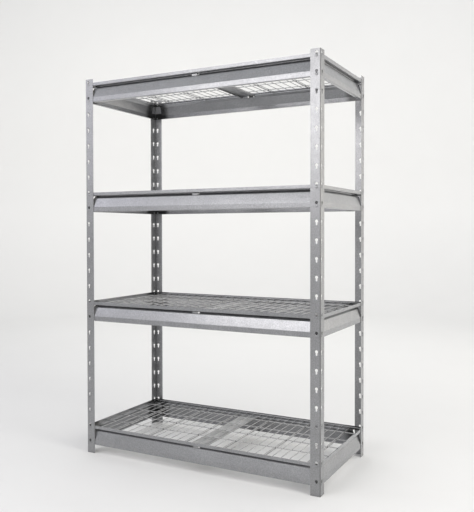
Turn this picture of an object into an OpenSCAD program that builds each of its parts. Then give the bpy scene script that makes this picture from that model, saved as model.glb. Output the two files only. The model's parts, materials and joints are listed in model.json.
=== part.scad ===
/* [Overall size] */
// Width over the outer faces of the uprights
unit_w = 1219.2; // [914.4:0.1:1524]
// Depth over the outer faces of the uprights
unit_d = 590; // [440:1:740]
// Height of one keyhole step along an upright
hole_pitch = 76.2; // [76.2:0.1:76.2]
// Number of keyholes on each face of an upright
hole_count = 24; // [23:1:30]

/* [Uprights] */
// Width of each leg of the angle upright
leg_w = 44.45; // [42:0.05:48]
// Sheet thickness of the uprights
post_t = 1.5; // [1.2:0.1:1.6]
// Distance from the corner of an upright to its line of keyholes
hole_line = 17.2; // [16:0.1:20]
// Distance from the top of an upright to its first keyhole centre
top_hole_drop = 14.4; // [12:0.1:16]
// Diameter of the round, upper end of a keyhole
key_d = 13; // [12.5:0.1:14]
// Width of the narrow slot below it
slot_w = 7.5; // [7.4:0.1:8]
// Drop from the round end to the bottom centre of the slot
key_drop = 13; // [12:0.1:14]

/* [Beams] */
// Overall height of a beam
beam_h = 94; // [92:1:98]
// Height of the flat rim along the top of a beam
rim_h = 15.5; // [14.5:0.5:17]
// Height of the flat band along the bottom of a beam
band_h = 23; // [22:0.5:26]
// How far the deck ledge reaches in from the outer face of the upright
ledge_in = 24; // [22:0.5:28]
// Drop from the top edge of a beam to the upper edge of its slanted web
web_drop = 29.5; // [28:0.5:31]
// How far that edge lies in from the outer face of the upright
web_in = 13.5; // [12.5:0.5:16]
// Width of the bottom flange
flange_w = 15; // [12:0.5:18]
// Sheet thickness of the beams and of the centre supports
beam_t = 1.4; // [1.2:0.1:1.6]
// Distance from the corner of an upright to the cut end of the ledge and web of a long beam
long_core_end = 46; // [42:0.5:60]
// The same distance for a short beam
short_core_end = 40; // [34:0.5:60]

/* [Wire decks] */
// Spacing of the front-to-back wires
wire_pitch = 40.15; // [36:0.05:44]
// Spacing of the long wires
long_pitch = 118.5; // [100:0.5:120]
// Diameter of the front-to-back wires
wire_d = 3.2; // [2.8:0.1:3.6]
// Diameter of the long wires
long_d = 3.8; // [3.4:0.1:4.2]
// Diameter of the stiffening wires under every fifth wire
rib_d = 4.8; // [4.4:0.1:5]

/* [Hidden] */

// Uprights: the height follows from the keyhole grid.
unit_h = hole_count * hole_pitch;
bend_r = 2.2;
bend_steps = 6;

// How far a cut runs past the sheet on each side.
cut = 1;

// Each shelf hangs on two neighbouring keyholes, counted down from the top.
top_hole = 0;
upper_hole = 7;
lower_hole = 14;
bottom_hole = hole_count - 2;

// Rivets: the head is outside the upright, the shoulder slides in the keyhole
// and the tail is closed behind the beam.
fit_gap = 0.05;
head_d = 12;
head_h = 1.7;
dome_in = 1.6;
rim_in = 0.3;
rim_part = 0.55;
shoulder_d = 7;
shank_d = 5;
tail_d = 8.5;
tail_h = 1.2;
tail_in = 0.5;
head_gap = 0.15;
seat_drop = key_drop + (slot_w - shoulder_d) / 2 - fit_gap;
rivet_from_top = 10;

// Beams: the rim and the band lie just inside the legs of the uprights.
leg_gap = 0.2;
band_in = post_t + leg_gap;
band_mid = band_in + beam_t / 2;
ledge_mid = -rim_h + beam_t / 2;
nose_mid = ledge_in - beam_t / 2;
nose_h = 2 * bend_r;
flange_mid = -beam_h + beam_t / 2;
tab_gap = 1.6;
tab_end = band_in + beam_t + tab_gap;
rim_tab_h = 20;
band_tab_h = 33;

// Wire decks: the long wires rest on the ledges of the side beams, the
// stiffening wires hang below them and one of these meets the centre support.
weld_in = 0.4;
ledge_top = -rim_h + beam_t;
long_z = ledge_top + fit_gap + long_d / 2;
wire_z = long_z + long_d / 2 + wire_d / 2 - weld_in;
edge_z = wire_z + wire_d / 2 + long_d / 2 - weld_in;
rib_z = long_z - long_d / 2 - rib_d / 2 + weld_in;
side_in = 6.6;
front_in = 6.4;
wire_end = 0.6;
first_long_in = 28.5;
last_long_in = 40;
rib_step = 5;
rib_gap = 0.5;
rib_end = 3;
wire_sides = 8;
deck_w = unit_w - 2 * side_in;
deck_d = unit_d - 2 * front_in;
edge_y = deck_d / 2 - long_d / 2 - wire_end;
first_long_y = -unit_d / 2 + first_long_in;
long_count = floor((deck_d / 2 - last_long_in - first_long_y) / long_pitch) + 1;
widest_rib_x = unit_w / 2 - ledge_in - rib_d / 2 - rib_gap;
wire_count = 2 * floor(widest_rib_x / wire_pitch + 0.5);
rib_len = unit_d - 2 * (ledge_in + rib_end);

// Centre supports: a shallow channel, open below, with a hooked tab at each end.
support_w = 76;
support_h = 9;
support_gap = 0.4;
support_top = rib_z - rib_d / 2 - fit_gap;
support_len = unit_d - 2 * (ledge_in + support_gap);
hook_x = 6;
hook_w = 27;
hook_h = 8.5;
hook_in = web_in - beam_t;
hook_root = 2;

// Slots for the hooks, wider than these to the right.
slot_left = 10;
slot_right = 26;
slot_gap = 0.4;
slot_h = 8;
slot_top = support_top + slot_gap;

function unit(v) = v / norm(v);
function left(v) = [-v.y, v.x];
function turned(v, a) = [v.x * cos(a) - v.y * sin(a), v.x * sin(a) + v.y * cos(a)];
function reversed(list) = [for (i = [len(list) - 1:-1:0]) list[i]];
function hole_z(i) = unit_h - top_hole_drop - i * hole_pitch;
function shelf_z(i) = hole_z(i) - seat_drop + rivet_from_top;

// Points along one face of a bend at b, on the way from a to c.
function bend(a, b, c, t, side) =
    let (
        u = unit(b - a),
        w = unit(c - b),
        turn = sign(cross(u, w)),
        angle = acos(u * w),
        centre = b - u * bend_r * tan(angle / 2) + turn * bend_r * left(u),
        radius = bend_r - turn * side * t / 2
    )
    [for (k = [0:bend_steps]) centre - turn * radius * left(turned(u, turn * angle * k / bend_steps))];

// One face of a folded sheet that follows the middle line through the path.
function face(path, t, side) =
    let (
        last = len(path) - 1,
        start = path[0] + side * t / 2 * left(unit(path[1] - path[0])),
        end = path[last] + side * t / 2 * left(unit(path[last] - path[last - 1]))
    )
    concat(
        [start],
        [for (i = [1:last - 1]) each bend(path[i - 1], path[i], path[i + 1], t, side)],
        [end]
    );

// Cross-section of a folded sheet.
module folded(path, t) {
    polygon(concat(face(path, t, 1), reversed(face(path, t, -1))));
}

// Places the children at the front left corner, mirrored for the other corners.
module corner(x_side, y_side) {
    scale([x_side, y_side, 1])
        translate([-unit_w / 2, -unit_d / 2, 0])
            children();
}

// Round hole with a narrow slot below it, cut along +Y.
module keyhole() {
    translate([0, -cut, 0])
        rotate([-90, 0, 0])
            linear_extrude(post_t + 2 * cut) {
                circle(d = key_d, $fn = 48);
                translate([-slot_w / 2, 0])
                    square([slot_w, key_drop]);
                translate([0, key_drop])
                    circle(d = slot_w, $fn = 48);
            }
}

// Angle upright with its corner at the origin and legs along +X and +Y.
module angle_upright() {
    mid = post_t / 2;
    difference() {
        linear_extrude(unit_h)
            folded([[leg_w, mid], [mid, mid], [mid, leg_w]], post_t);
        for (i = [0:hole_count - 1]) {
            translate([hole_line, 0, hole_z(i)])
                keyhole();
            translate([post_t, hole_line, hole_z(i)])
                rotate([0, 0, 90])
                    keyhole();
        }
    }
}

module upright(x_side, y_side) {
    color("silver")
        corner(x_side, y_side)
            angle_upright();
}

// Folded section of a beam, drawn with the inset along +X and the height along +Y.
module beam_section() {
    folded([
        [band_mid, 0],
        [band_mid, ledge_mid],
        [nose_mid, ledge_mid],
        [nose_mid, ledge_mid - nose_h],
        [web_in, -web_drop],
        [band_mid, -beam_h + band_h],
        [band_mid, flange_mid],
        [band_in + flange_w, flange_mid]
    ], beam_t);
}

// Flat strip of a beam that runs on behind the upright as a tab.
module tab_strip(length, top, height) {
    translate([-length / 2, band_in, top - height])
        cube([length, beam_t, height]);
}

// Taller tabs at the two ends of the rim and of the band, around the rivets.
module end_tabs(span, core_end) {
    for (side = [-1, 1])
        translate([side * (span - tab_end - core_end) / 2, 0, 0]) {
            tab_strip(core_end - tab_end, 0, rim_tab_h);
            tab_strip(core_end - tab_end, band_tab_h - beam_h, band_tab_h - bend_r);
        }
}

// Holes for the rivet shanks at both ends of a beam.
module shank_holes(span) {
    for (side = [-1, 1], drop = [0, hole_pitch])
        translate([side * (span / 2 - hole_line), 0, -rivet_from_top - drop])
            rotate([-90, 0, 0])
                cylinder(d = shank_d + 2 * fit_gap, h = band_in + beam_t + cut, $fn = 32);
}

// Beam between two uprights, its outer face towards -Y, its top edge at z = 0.
module beam(span, core_end) {
    core = span - 2 * core_end;
    difference() {
        union() {
            translate([core / 2, 0, 0])
                rotate([90, 0, -90])
                    linear_extrude(core)
                        mirror([1, 0])
                            beam_section();
            tab_strip(span - 2 * tab_end, 0, rim_h - bend_r);
            tab_strip(span - 2 * tab_end, -beam_h + band_h - bend_r, band_h - 2 * bend_r);
            end_tabs(span, core_end);
        }
        shank_holes(span);
    }
}

// Slot below the ledge of a long beam that takes the hook of the centre support.
module hook_slot() {
    translate([-slot_left, hook_in, slot_top - slot_h])
        cube([slot_left + slot_right, ledge_in + cut - hook_in, slot_h]);
}

// Places the children on the front or back of a shelf.
module long_side(level, y_side) {
    translate([0, 0, shelf_z(level)])
        scale([1, y_side, 1])
            translate([0, -unit_d / 2, 0])
                children();
}

// Places the children on the left or right of a shelf.
module short_side(level, x_side) {
    translate([0, 0, shelf_z(level)])
        scale([x_side, 1, 1])
            translate([-unit_w / 2, 0, 0])
                rotate([0, 0, -90])
                    children();
}

module long_beam(level, y_side) {
    color("silver")
        long_side(level, y_side)
            difference() {
                beam(unit_w, long_core_end);
                hook_slot();
            }
}

module short_beam(level, x_side) {
    color("silver")
        short_side(level, x_side)
            beam(unit_d, short_core_end);
}

// One rivet along +Y, its head outside the upright.
module rivet() {
    rotate([-90, 0, 0])
        rotate_extrude($fn = 48)
            polygon([
                [0, -head_gap - head_h],
                [head_d / 2 - dome_in, -head_gap - head_h],
                [head_d / 2 - rim_in, -head_gap - head_h * rim_part],
                [head_d / 2, -head_gap],
                [shoulder_d / 2, -head_gap],
                [shoulder_d / 2, band_in - fit_gap],
                [shank_d / 2, band_in - fit_gap],
                [shank_d / 2, band_in + beam_t + fit_gap],
                [tail_d / 2, band_in + beam_t + fit_gap],
                [tail_d / 2 - tail_in, band_in + beam_t + tail_h],
                [0, band_in + beam_t + tail_h]
            ]);
}

module four_rivets(span) {
    for (side = [-1, 1], drop = [0, hole_pitch])
        translate([side * (span / 2 - hole_line), 0, -rivet_from_top - drop])
            rivet();
}

module long_rivets(level, y_side) {
    color("gainsboro")
        long_side(level, y_side)
            four_rivets(unit_w);
}

module short_rivets(level, x_side) {
    color("gainsboro")
        short_side(level, x_side)
            four_rivets(unit_d);
}

// Hooked tab at the front end of the centre support.
module hook() {
    front = -unit_d / 2 + hook_in;
    left = hook_x - hook_w / 2;
    translate([left, front, support_top - beam_t])
        cube([hook_w, -support_len / 2 - front + hook_root, beam_t]);
    translate([left, front, support_top - hook_h])
        cube([hook_w, beam_t, hook_h]);
}

// Shallow channel from the front beam to the back beam under the deck.
module centre_support(level) {
    top = support_top - beam_t / 2;
    edge = support_w / 2 - beam_t / 2;
    color("silver")
        translate([0, 0, shelf_z(level)]) {
            translate([0, support_len / 2, 0])
                rotate([90, 0, 0])
                    linear_extrude(support_len)
                        folded([
                            [-edge, support_top - support_h],
                            [-edge, top],
                            [edge, top],
                            [edge, support_top - support_h]
                        ], beam_t);
            hook();
            mirror([0, 1, 0])
                hook();
        }
}

// Wire of the deck from front to back.
module cross_wire(x, z, d, length) {
    translate([x, length / 2, z])
        rotate([90, 0, 0])
            rotate([0, 0, 180 / wire_sides])
                cylinder(d = d, h = length, $fn = wire_sides);
}

// Wire of the deck along the width of the shelf.
module long_wire(y, z) {
    translate([-deck_w / 2, y, z])
        rotate([0, 90, 0])
            rotate([0, 0, 180 / wire_sides])
                cylinder(d = long_d, h = deck_w, $fn = wire_sides);
}

function wire_x(i) = (i - (wire_count - 1) / 2) * wire_pitch;

// Welded wire deck lying inside the rims of the four beams.
module wire_deck(level) {
    color("lightgray")
        translate([0, 0, shelf_z(level)])
            union() {
                for (i = [0:wire_count - 1])
                    cross_wire(wire_x(i), wire_z, wire_d, deck_d);
                for (i = [wire_count - 1:-rib_step:1])
                    cross_wire(wire_x(i), rib_z, rib_d, rib_len);
                for (i = [0:long_count - 1])
                    long_wire(first_long_y + i * long_pitch, long_z);
                for (side = [-1, 1])
                    long_wire(side * edge_y, edge_z);
            }
}

upright(1, 1);  // front_left_upright
upright(-1, 1);  // front_right_upright
upright(1, -1);  // back_left_upright
upright(-1, -1);  // back_right_upright

long_beam(top_hole, 1);  // top_front_beam
long_beam(top_hole, -1);  // top_back_beam
short_beam(top_hole, 1);  // top_left_beam
short_beam(top_hole, -1);  // top_right_beam
long_rivets(top_hole, 1);  // top_front_rivets
long_rivets(top_hole, -1);  // top_back_rivets
short_rivets(top_hole, 1);  // top_left_rivets
short_rivets(top_hole, -1);  // top_right_rivets
centre_support(top_hole);  // top_centre_support
wire_deck(top_hole);  // top_wire_deck

long_beam(upper_hole, 1);  // upper_front_beam
long_beam(upper_hole, -1);  // upper_back_beam
short_beam(upper_hole, 1);  // upper_left_beam
short_beam(upper_hole, -1);  // upper_right_beam
long_rivets(upper_hole, 1);  // upper_front_rivets
long_rivets(upper_hole, -1);  // upper_back_rivets
short_rivets(upper_hole, 1);  // upper_left_rivets
short_rivets(upper_hole, -1);  // upper_right_rivets
centre_support(upper_hole);  // upper_centre_support
wire_deck(upper_hole);  // upper_wire_deck

long_beam(lower_hole, 1);  // lower_front_beam
long_beam(lower_hole, -1);  // lower_back_beam
short_beam(lower_hole, 1);  // lower_left_beam
short_beam(lower_hole, -1);  // lower_right_beam
long_rivets(lower_hole, 1);  // lower_front_rivets
long_rivets(lower_hole, -1);  // lower_back_rivets
short_rivets(lower_hole, 1);  // lower_left_rivets
short_rivets(lower_hole, -1);  // lower_right_rivets
centre_support(lower_hole);  // lower_centre_support
wire_deck(lower_hole);  // lower_wire_deck

long_beam(bottom_hole, 1);  // bottom_front_beam
long_beam(bottom_hole, -1);  // bottom_back_beam
short_beam(bottom_hole, 1);  // bottom_left_beam
short_beam(bottom_hole, -1);  // bottom_right_beam
long_rivets(bottom_hole, 1);  // bottom_front_rivets
long_rivets(bottom_hole, -1);  // bottom_back_rivets
short_rivets(bottom_hole, 1);  // bottom_left_rivets
short_rivets(bottom_hole, -1);  // bottom_right_rivets
centre_support(bottom_hole);  // bottom_centre_support
wire_deck(bottom_hole);  // bottom_wire_deck
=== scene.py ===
import json
import math

import bmesh
import bpy
from mathutils import Matrix, Vector


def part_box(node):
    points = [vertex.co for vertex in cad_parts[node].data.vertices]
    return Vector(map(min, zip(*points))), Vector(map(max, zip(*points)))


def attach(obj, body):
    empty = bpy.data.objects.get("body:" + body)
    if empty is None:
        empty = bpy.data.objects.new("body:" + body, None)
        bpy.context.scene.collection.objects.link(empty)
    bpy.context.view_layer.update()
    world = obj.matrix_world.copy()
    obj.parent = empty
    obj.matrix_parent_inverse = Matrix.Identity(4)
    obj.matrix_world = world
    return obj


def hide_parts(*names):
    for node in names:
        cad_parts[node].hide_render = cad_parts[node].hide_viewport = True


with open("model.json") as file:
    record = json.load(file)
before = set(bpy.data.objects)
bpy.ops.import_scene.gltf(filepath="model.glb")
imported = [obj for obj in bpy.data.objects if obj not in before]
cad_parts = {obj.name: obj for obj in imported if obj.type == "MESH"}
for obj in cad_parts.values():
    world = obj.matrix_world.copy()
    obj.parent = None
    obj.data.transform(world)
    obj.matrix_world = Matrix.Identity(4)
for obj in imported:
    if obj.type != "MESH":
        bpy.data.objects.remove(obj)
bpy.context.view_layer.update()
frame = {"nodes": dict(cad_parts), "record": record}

# Everything is in metres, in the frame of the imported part.
SHELVES = ("top", "upper", "lower", "bottom")

# Wire decks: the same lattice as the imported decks, with round wires. Names that end in _R
# are radii. RIB_HALF is half the length of a rib, one of the stiffening wires underneath.
# WELD_IN is how far two crossing wires sink into each other.
WIRE_PITCH = 0.04015
WIRE_R = 0.0016
LONG_R = 0.0019
RIB_R = 0.0024
RIB_STEP = 5
LONG_PITCH = 0.1185
FIRST_LONG_Y = -0.2665
LONG_COUNT = 5
EDGE_Y = 0.2861
RIB_HALF = 0.268
WELD_IN = 0.0004
WIRE_SEGMENTS = 16

# Cut ends of a wire: distance from the end and radius there, both in wire radii.
WIRE_END = ((0.0, 0.62), (0.12, 0.86), (0.38, 1.0))

# Half sizes of the weld beads at the long wires, the edge wires and the ribs.
LONG_BEAD = (0.0024, 0.0022, 0.0014)
EDGE_BEAD = (0.0023, 0.002, 0.0014)
RIB_BEAD = (0.0036, 0.0034, 0.0022)
WELD_SLOT = 1

# Where the legs of the uprights begin to cover the ends of the beams and how sharply they
# do, then how far from there the painted shade in the corners starts and reaches its full depth.
HIDDEN_X = 0.5655
HIDDEN_Y = 0.251
HIDDEN_EDGE = 0.001
CORNER_START = 0.06
CORNER_FULL = 0.02

# Brightness of the coat where shade is painted on it, and on worn edges, as a share of its own.
PAINTED_SHADE_TONE = 0.08
WORN_SHADE = 1.45

# Edges flatter than this are shaded smooth. Points closer than the gaps are joined.
SMOOTH_DEGREES = 32
PART_GAP = 1e-6
PAPER_GAP = 1e-5


# ---------------------------------------------------------------- materials

def node_tree(name):
    """An empty node material and a short way to add and link its nodes."""
    material = bpy.data.materials.new(name)
    material.use_nodes = True
    tree = material.node_tree
    tree.nodes.clear()

    def add(kind, inputs=(), **settings):
        node = tree.nodes.new("ShaderNode" + kind)
        for key, value in settings.items():
            setattr(node, key, value)
        for socket, value in dict(inputs).items():
            if isinstance(value, bpy.types.NodeSocket):
                tree.links.new(value, node.inputs[socket])
            else:
                node.inputs[socket].default_value = value
        return node

    return material, add


def color_ramp(node, stops):
    """Sets the stops of a color ramp from (position, color) pairs."""
    ramp = node.color_ramp
    while len(ramp.elements) < len(stops):
        ramp.elements.new(0.5)
    for element, (position, color) in zip(ramp.elements, stops):
        element.position = position
        element.color = (*color, 1.0)


def shade(color, factor):
    return tuple(channel * factor for channel in color)


def band_mask(add, value, start, end):
    """0 below start and 1 above end, smooth between."""
    return add("MapRange", {"Value": value, "From Min": start, "From Max": end,
                            "To Min": 0.0, "To Max": 1.0},
               interpolation_type="SMOOTHSTEP").outputs["Result"]


def product(add, a, b):
    return add("Math", {0: a, 1: b}, operation="MULTIPLY").outputs["Value"]


def corner_zone(add, place, near, far):
    """1 where |x| and |y| both pass the hidden lines, fading in from near to far."""
    return product(add, band_mask(add, place.outputs["X"], HIDDEN_X + near, HIDDEN_X + far),
                   band_mask(add, place.outputs["Y"], HIDDEN_Y + near, HIDDEN_Y + far))


def shaded_beam_ends(add, coords):
    """Where shade is painted: 1 on the beam ends behind the uprights and inside the corners next to
    them.
    """
    away = add("VectorMath", {0: coords}, operation="ABSOLUTE")
    place = add("SeparateXYZ", {"Vector": away.outputs["Vector"]})
    hidden = corner_zone(add, place, 0.0, HIDDEN_EDGE)
    corner = corner_zone(add, place, -CORNER_START, -CORNER_FULL)
    level = add("VectorMath", {0: coords, 1: (1.0, 1.0, 0.0)}, operation="MULTIPLY")
    outward = add("VectorMath", {0: level.outputs["Vector"],
                                 1: add("NewGeometry").outputs["Normal"]},
                  operation="DOT_PRODUCT")
    inside = add("Math", {0: outward.outputs["Value"], 1: 0.0}, operation="LESS_THAN")
    shaded = product(add, corner, inside.outputs["Value"])
    return add("Math", {0: hidden, 1: shaded}, operation="MAXIMUM").outputs["Value"]


def bend_line(add):
    """1 along the upright bends, where the surface faces sideways and forward alike."""
    facing = add("SeparateXYZ", {"Vector": add("NewGeometry").outputs["True Normal"]})
    slant = product(add, facing.outputs["X"], facing.outputs["Y"])
    steep = add("Math", {0: slant}, operation="ABSOLUTE")
    return band_mask(add, steep.outputs["Value"], 0.25, 0.35)


def tinted(add, base, color, factor):
    """The base color, changed to another color by a factor."""
    mix = add("Mix", {"Factor": factor, "A": base, "B": (*color, 1.0)}, data_type="RGBA")
    return mix.outputs["Result"]


def multiplied(add, base, factor):
    """A color times another color, or times a plain factor."""
    return add("VectorMath", {0: base, 1: factor}, operation="MULTIPLY").outputs["Vector"]


def flaked_color(add, coords, color, cells):
    """Cloudy tone, flakes of differing brightness, and clusters that sparkle from afar."""
    cloud = add("TexNoise", {"Vector": coords, "Scale": 9.0, "Detail": 5.0, "Roughness": 0.6})
    tone = add("ValToRGB", {"Fac": cloud.outputs["Fac"]})
    color_ramp(tone, [(0.3, shade(color, 0.93)), (0.7, shade(color, 1.05))])

    flake_value = add("SeparateColor", {"Color": cells})
    flake_tone = add("MapRange", {
        "Value": flake_value.outputs["Red"], "From Min": 0.0, "From Max": 1.0,
        "To Min": 0.88, "To Max": 1.14})
    speckled = multiplied(add, tone.outputs["Color"], flake_tone.outputs["Result"])

    cluster = add("TexNoise", {"Vector": coords, "Scale": 210.0, "Detail": 1.0})
    cluster_tone = add("MapRange", {
        "Value": cluster.outputs["Fac"], "From Min": 0.3, "From Max": 0.7,
        "To Min": 0.9, "To Max": 1.11})
    return multiplied(add, speckled, cluster_tone.outputs["Result"])


def shade_nooks(add, base, nook_shade):
    """Painted shade: darker where two pieces meet and inside the folds."""
    nook = add("AmbientOcclusion", {"Distance": 0.025}, samples=4)
    nook_darkening = add("MapRange", {"Value": nook.outputs["AO"], "From Min": 0.15,
                             "From Max": 0.7, "To Min": 1.0 - nook_shade, "To Max": 1.0})
    return multiplied(add, base, nook_darkening.outputs["Result"])


def edge_wear(add, coords):
    """Patches along the edges, found where a rounded normal differs from the flat one."""
    rounded = add("Bevel", {"Radius": 0.0007}, samples=3)
    flat = add("NewGeometry")
    facing = add("VectorMath", {0: rounded.outputs["Normal"], 1: flat.outputs["Normal"]},
                 operation="DOT_PRODUCT")
    edge = add("MapRange", {"Value": facing.outputs["Value"], "From Min": 0.995,
                            "From Max": 0.9, "To Min": 0.0, "To Max": 0.5})
    patchy = add("TexNoise", {"Vector": coords, "Scale": 70.0, "Detail": 3.0})
    return product(add, edge.outputs["Result"], patchy.outputs["Fac"])


def wandering_roughness(add, coords, roughness):
    """The given roughness, a little more in some places and less in others."""
    sheen = add("TexNoise", {"Vector": coords, "Scale": 34.0, "Detail": 4.0})
    rough = add("MapRange", {"Value": sheen.outputs["Fac"], "From Min": 0.3, "From Max": 0.7,
                             "To Min": roughness * 0.88, "To Max": roughness * 1.12})
    return rough.outputs["Result"]


def coat_normal(add, coords, cells, peel, flake):
    """Orange peel as a bump, then each flake tilts the normal a little."""
    dimples = add("TexNoise", {"Vector": coords, "Scale": 330.0, "Detail": 2.0})
    bump = add("Bump", {"Height": dimples.outputs["Fac"], "Strength": peel, "Distance": 0.0006})
    lean = add("VectorMath", {0: cells, 1: (0.5, 0.5, 0.5)}, operation="SUBTRACT")
    tilt = add("VectorMath", {0: lean.outputs["Vector"], "Scale": flake}, operation="SCALE")
    tilted = add("VectorMath", {0: bump.outputs["Normal"], 1: tilt.outputs["Vector"]},
                 operation="ADD")
    return add("VectorMath", {0: tilted.outputs["Vector"]},
               operation="NORMALIZE").outputs["Vector"]


def powder_coat(name, color, roughness, metallic=0.85, flake=0.12, peel=0.25, nook_shade=0.65,
                beam_end_shade=0.0, bend_shade=0.0):
    """Metallic powder coat.

    Flake and peel are how far the flakes and the orange peel turn the light. The last three
    arguments set how dark the painted shade gets: in the folds and where two pieces meet, on the
    beam ends behind the uprights and in the corners next to them, and along the bends of the
    uprights.
    """
    material, add = node_tree(name)
    coords = add("TexCoord").outputs["Object"]
    cells = add("TexVoronoi", {"Vector": coords, "Scale": 520.0,
                               "Randomness": 1.0}).outputs["Color"]
    # Painted shade where two pieces meet and inside the folds, from ambient occlusion.
    finish = shade_nooks(add, flaked_color(add, coords, color, cells), nook_shade)
    finish = tinted(add, finish, shade(color, WORN_SHADE), edge_wear(add, coords))
    # Painted shade on the beam ends behind the uprights and inside the corners next to them.
    if beam_end_shade:
        shade_amount = product(add, shaded_beam_ends(add, coords), beam_end_shade)
        finish = tinted(add, finish, shade(color, PAINTED_SHADE_TONE), shade_amount)
    # Painted shade along the bends of the uprights.
    if bend_shade:
        shade_amount = product(add, bend_line(add), bend_shade)
        finish = tinted(add, finish, shade(color, PAINTED_SHADE_TONE), shade_amount)
    shader = add("BsdfPrincipled", {
        "Base Color": finish, "Metallic": metallic,
        "Roughness": wandering_roughness(add, coords, roughness),
        "Normal": coat_normal(add, coords, cells, peel, flake),
        "Coat Weight": 1.0, "Coat Roughness": 0.22, "Coat IOR": 1.55})
    add("OutputMaterial", {"Surface": shader.outputs["BSDF"]})
    return material


def shaded_weld_metal(name, color):
    """Real weld beads of the decks, made near black and mottled as painted shade of the crossings.
    """
    material, add = node_tree(name)
    coords = add("TexCoord").outputs["Object"]
    bead_mottle = add("TexNoise", {"Vector": coords, "Scale": 420.0, "Detail": 4.0, "Roughness": 0.7})
    tone = add("ValToRGB", {"Fac": bead_mottle.outputs["Fac"]})
    color_ramp(tone, [(0.35, shade(color, 0.55)), (0.7, shade(color, 1.1))])
    bump = add("Bump", {"Height": bead_mottle.outputs["Fac"], "Strength": 0.6, "Distance": 0.0008})
    shader = add("BsdfPrincipled", {
        "Base Color": tone.outputs["Color"], "Metallic": 0.5, "Roughness": 0.55,
        "Normal": bump.outputs["Normal"]})
    add("OutputMaterial", {"Surface": shader.outputs["BSDF"]})
    return material


def studio_paper(name, color):
    """Matt, very slightly mottled paper, a little greyer towards the floor."""
    material, add = node_tree(name)
    coords = add("TexCoord").outputs["Object"]
    mottle = add("TexNoise", {"Vector": coords, "Scale": 1.3, "Detail": 6.0, "Roughness": 0.65})
    tone = add("ValToRGB", {"Fac": mottle.outputs["Fac"]})
    color_ramp(tone, [(0.3, shade(color, 0.985)), (0.7, color)])
    height = add("SeparateXYZ", {"Vector": coords})
    greyer_low = add("MapRange", {"Value": height.outputs["Z"], "From Min": 0.0, "From Max": 1.4,
                              "To Min": 0.91, "To Max": 1.0})
    base = multiplied(add, tone.outputs["Color"], greyer_low.outputs["Result"])
    shader = add("BsdfPrincipled", {
        "Base Color": base, "Roughness": 0.75, "Specular IOR Level": 0.25})
    add("OutputMaterial", {"Surface": shader.outputs["BSDF"]})
    return material


# ---------------------------------------------------------------- meshes

def mesh_object(name, bm, materials):
    """Turns a bmesh into a smooth-shaded object in the scene."""
    mesh = bpy.data.meshes.new(name)
    bm.to_mesh(mesh)
    bm.free()
    for material in materials:
        mesh.materials.append(material)
    for polygon in mesh.polygons:
        polygon.use_smooth = True
    obj = bpy.data.objects.new(name, mesh)
    bpy.context.scene.collection.objects.link(obj)
    return obj


def add_wire(bm, start, end, radius):
    """A straight round wire with softly rounded cut ends."""
    start, end = Vector(start), Vector(end)
    along = (end - start).normalized()
    side = along.orthogonal().normalized()
    up = along.cross(side)
    length = (end - start).length
    stations = [(offset * radius, share) for offset, share in WIRE_END]
    stations += [(length - offset * radius, share) for offset, share in reversed(WIRE_END)]
    rings = []
    for distance, share in stations:
        centre = start + along * distance
        ring = []
        for k in range(WIRE_SEGMENTS):
            angle = 2 * math.pi * k / WIRE_SEGMENTS
            out = side * math.cos(angle) + up * math.sin(angle)
            ring.append(bm.verts.new(centre + out * radius * share))
        rings.append(ring)
    for a, b in zip(rings, rings[1:]):
        for k in range(WIRE_SEGMENTS):
            n = (k + 1) % WIRE_SEGMENTS
            bm.faces.new((a[k], a[n], b[n], b[k]))
    bm.faces.new(list(reversed(rings[0])))
    bm.faces.new(rings[-1])


def add_bead(bm, centre, size):
    """A small flattened weld bead, in its own material."""
    place = Matrix.Translation(Vector(centre)) @ Matrix.Diagonal((*size, 1.0))
    made = bmesh.ops.create_icosphere(bm, subdivisions=2, radius=1.0, matrix=place)
    for face in {f for v in made["verts"] for f in v.link_faces}:
        face.material_index = WELD_SLOT


def wire_deck(level, materials):
    """Welded wire deck with round wires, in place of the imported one."""
    node = f"{level}_wire_deck"
    low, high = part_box(node)
    edge_z = high.z - LONG_R
    wire_z = edge_z - LONG_R - WIRE_R + WELD_IN
    long_z = wire_z - WIRE_R - LONG_R + WELD_IN
    rib_z = long_z - LONG_R - RIB_R + WELD_IN
    # An even number of cross wires about the middle, with a rib under every fifth one.
    count = 2 * math.floor((high.x - RIB_R) / WIRE_PITCH)
    wire_x = [(i - (count - 1) / 2) * WIRE_PITCH for i in range(count)]
    long_y = [FIRST_LONG_Y + i * LONG_PITCH for i in range(LONG_COUNT)]
    ribs = wire_x[::-1][::RIB_STEP]

    bm = bmesh.new()
    for x in wire_x:
        add_wire(bm, (x, low.y, wire_z), (x, high.y, wire_z), WIRE_R)
    for x in ribs:
        add_wire(bm, (x, -RIB_HALF, rib_z), (x, RIB_HALF, rib_z), RIB_R)
    for y in long_y:
        add_wire(bm, (low.x, y, long_z), (high.x, y, long_z), LONG_R)
    for y in (-EDGE_Y, EDGE_Y):
        add_wire(bm, (low.x, y, edge_z), (high.x, y, edge_z), LONG_R)

    for x in wire_x:
        for y in long_y:
            add_bead(bm, (x, y, (wire_z + long_z) / 2), LONG_BEAD)
        for y in (-EDGE_Y, EDGE_Y):
            add_bead(bm, (x, y, (wire_z + edge_z) / 2), EDGE_BEAD)
    for x in ribs:
        for y in long_y:
            if abs(y) < RIB_HALF:
                add_bead(bm, (x, y, (rib_z + long_z) / 2), RIB_BEAD)

    deck = mesh_object(f"{level}_round_wire_deck", bm, materials)
    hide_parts(node)
    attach(deck, f"{level}_deck")


# ---------------------------------------------------------------- carried-over CAD nodes

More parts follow.
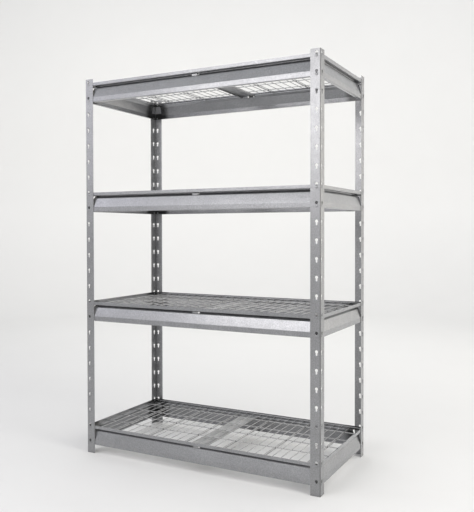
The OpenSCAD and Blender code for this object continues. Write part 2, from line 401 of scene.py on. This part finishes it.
def smooth_by_angle(name, limit_degrees):
    """Geometry nodes: welds the mesh and smooths every edge flatter than the limit."""
    tree = bpy.data.node_groups.new(name, "GeometryNodeTree")
    tree.interface.new_socket("Geometry", in_out="INPUT", socket_type="NodeSocketGeometry")
    tree.interface.new_socket("Geometry", in_out="OUTPUT", socket_type="NodeSocketGeometry")
    new = tree.nodes.new
    link = tree.links.new
    source = new("NodeGroupInput")
    weld = new("GeometryNodeMergeByDistance")
    weld.inputs["Distance"].default_value = PART_GAP
    faces = new("GeometryNodeSetShadeSmooth")
    faces.domain = "FACE"
    angle = new("GeometryNodeInputMeshEdgeAngle")
    sharp = new("FunctionNodeCompare")
    sharp.data_type = "FLOAT"
    sharp.operation = "GREATER_THAN"
    sharp.inputs[1].default_value = math.radians(limit_degrees)
    edges = new("GeometryNodeSetShadeSmooth")
    edges.domain = "EDGE"
    edges.inputs["Shade Smooth"].default_value = False
    result = new("NodeGroupOutput")
    link(source.outputs[0], weld.inputs["Geometry"])
    link(weld.outputs["Geometry"], faces.inputs["Geometry"])
    link(faces.outputs["Geometry"], edges.inputs["Geometry"])
    link(angle.outputs["Unsigned Angle"], sharp.inputs[0])
    link(sharp.outputs["Result"], edges.inputs["Selection"])
    link(edges.outputs["Geometry"], result.inputs[0])
    return tree


def finish_node(obj, material, smoothing):
    """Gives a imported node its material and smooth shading; its mesh stays as packed."""
    obj.data.materials.clear()
    obj.data.materials.append(material)
    normals = obj.data.attributes.get("custom_normal")
    if normals:
        obj.data.attributes.remove(normals)
    modifier = obj.modifiers.new("smooth", "NODES")
    modifier.node_group = smoothing


# ---------------------------------------------------------------- stage, lights and camera

FLOOR_R = 5.4
COVE_R = 2.2
COVE_STEPS = 12
TURN_STEPS = 48
WALL_TOP = 8.0
SKY_COLOR = (0.935, 0.957, 1.0, 1.0)
SKY_STRENGTH = 0.85
MIDDLE = (0.0, 0.0, 0.9)

SENSOR_MM = 36.0
LENS_MM = 46.9
LENS_SHIFT = -0.0248
CAMERA_PLACE = (1.575, -2.845, 1.089)
CAMERA_DEGREES = (88.945, 0.09, 27.87)
VIEW_END = 50.0

# Name, place, target, size in metres, power in watts and color of each light.
SOFTBOXES = (
    ("key", (-0.6, -3.2, 2.35), MIDDLE, (2.4, 1.3), 15.5, (1.0, 0.985, 0.987)),
    ("key_low", (-0.6, -3.2, 2.05), MIDDLE, (2.4, 1.0), 20.5, (1.0, 0.97, 0.99)),
    ("left", (-3.4, -2.6, 2.6), MIDDLE, (1.6, 2.2), 17.0, (0.89, 0.875, 1.0)),
    ("right", (4.2, -1.0, 2.4), MIDDLE, (2.0, 2.4), 105.0, (1.0, 0.98, 0.92)),
    ("right_rim", (2.8, 3.0, 1.5), MIDDLE, (1.4, 2.2), 12.5, (1.0, 0.93, 0.82)),
    ("back_wash", (-1.2, 2.4, 4.3), (-1.2, 7.0, 0.4), (5.0, 1.5), 86.0, (1.0, 0.985, 0.93)),
)


def studio_shell(name, start, end, material):
    """Floor that curves up into a wall, turned round the vertical axis from start to end degrees."""
    profile = [(0.0, 0.0), (FLOOR_R, 0.0)]
    for k in range(1, COVE_STEPS + 1):
        a = math.radians(90 * k / COVE_STEPS)
        profile.append((FLOOR_R + COVE_R * math.sin(a), COVE_R * (1 - math.cos(a))))
    profile.append((FLOOR_R + COVE_R, WALL_TOP))
    bm = bmesh.new()
    rows = []
    for i in range(TURN_STEPS + 1):
        a = math.radians(start + (end - start) * i / TURN_STEPS)
        rows.append([bm.verts.new((r * math.cos(a), r * math.sin(a), z)) for r, z in profile])
    for a, b in zip(rows, rows[1:]):
        for k in range(len(profile) - 1):
            bm.faces.new((a[k], b[k], b[k + 1], a[k + 1]))
    bmesh.ops.remove_doubles(bm, verts=bm.verts, dist=PAPER_GAP)
    return mesh_object(name, bm, [material])


def softbox(name, location, target, size, power, color):
    """A rectangular area light that faces its target."""
    light = bpy.data.lights.new(name, "AREA")
    light.shape = "RECTANGLE"
    light.size, light.size_y = size
    light.energy = power
    light.color = color
    obj = bpy.data.objects.new(name, light)
    obj.location = location
    obj.rotation_euler = (Vector(target) - Vector(location)).to_track_quat("-Z", "Y").to_euler()
    bpy.context.scene.collection.objects.link(obj)


def build_studio():
    """Pale paper floor and walls, an even sky, and the softboxes."""
    paper = studio_paper("studio_paper", (0.86, 0.855, 0.845))
    back = studio_shell("studio_back", 0, 180, paper)
    front = studio_shell("studio_front", 180, 360, paper)

    world = bpy.data.worlds.new("studio_world")
    world.use_nodes = True
    background = world.node_tree.nodes["Background"]
    background.inputs["Color"].default_value = SKY_COLOR
    background.inputs["Strength"].default_value = SKY_STRENGTH
    bpy.context.scene.world = world

    for name, location, target, size, power, color in SOFTBOXES:
        softbox(name, location, target, size, power, color)


def build_camera():
    """A camera in front of the unit and to its right, a little above its middle."""
    data = bpy.data.cameras.new("photo_camera")
    data.sensor_width = SENSOR_MM
    data.lens = LENS_MM
    data.shift_y = LENS_SHIFT
    data.clip_end = VIEW_END
    camera = bpy.data.objects.new("photo_camera", data)
    camera.location = CAMERA_PLACE
    camera.rotation_euler = [math.radians(angle) for angle in CAMERA_DEGREES]
    bpy.context.scene.collection.objects.link(camera)
    bpy.context.scene.camera = camera


# ---------------------------------------------------------------- the scene


def build():
    coats = {
        "upright_coat": powder_coat("upright_powder_coat", (0.27, 0.273, 0.28), 0.4,
                                    bend_shade=0.85),
        "beam_coat": powder_coat("beam_powder_coat", (0.28, 0.284, 0.294), 0.36, beam_end_shade=0.95),
        "support_coat": powder_coat("support_powder_coat", (0.27, 0.273, 0.278), 0.42),
        "rivet_steel": powder_coat("rivet_coat", (0.26, 0.264, 0.27), 0.34, flake=0.06),
        # The wire coat is lighter than the other coats: painted light, for wires lit from above.
        "wire_coat": powder_coat("wire_powder_coat", (0.42, 0.42, 0.424), 0.38, metallic=0.75,
                                 peel=0.15, nook_shade=0.2),
    }
    # The weld beads are near black: painted shade at the wire crossings.
    weld = shaded_weld_metal("weld_spot_shade", (0.045, 0.045, 0.047))
    smoothing = smooth_by_angle("smooth_flat_edges", SMOOTH_DEGREES)
    slots = {part["node"]: part["material_slot"] for part in frame["record"]["subparts"]}
    for node, obj in frame["nodes"].items():
        if not node.endswith("_wire_deck"):
            finish_node(obj, coats[slots[node]], smoothing)
    for level in SHELVES:
        wire_deck(level, [coats["wire_coat"], weld])
    build_studio()
    build_camera()
    bpy.context.scene.view_settings.view_transform = "Standard"


build()
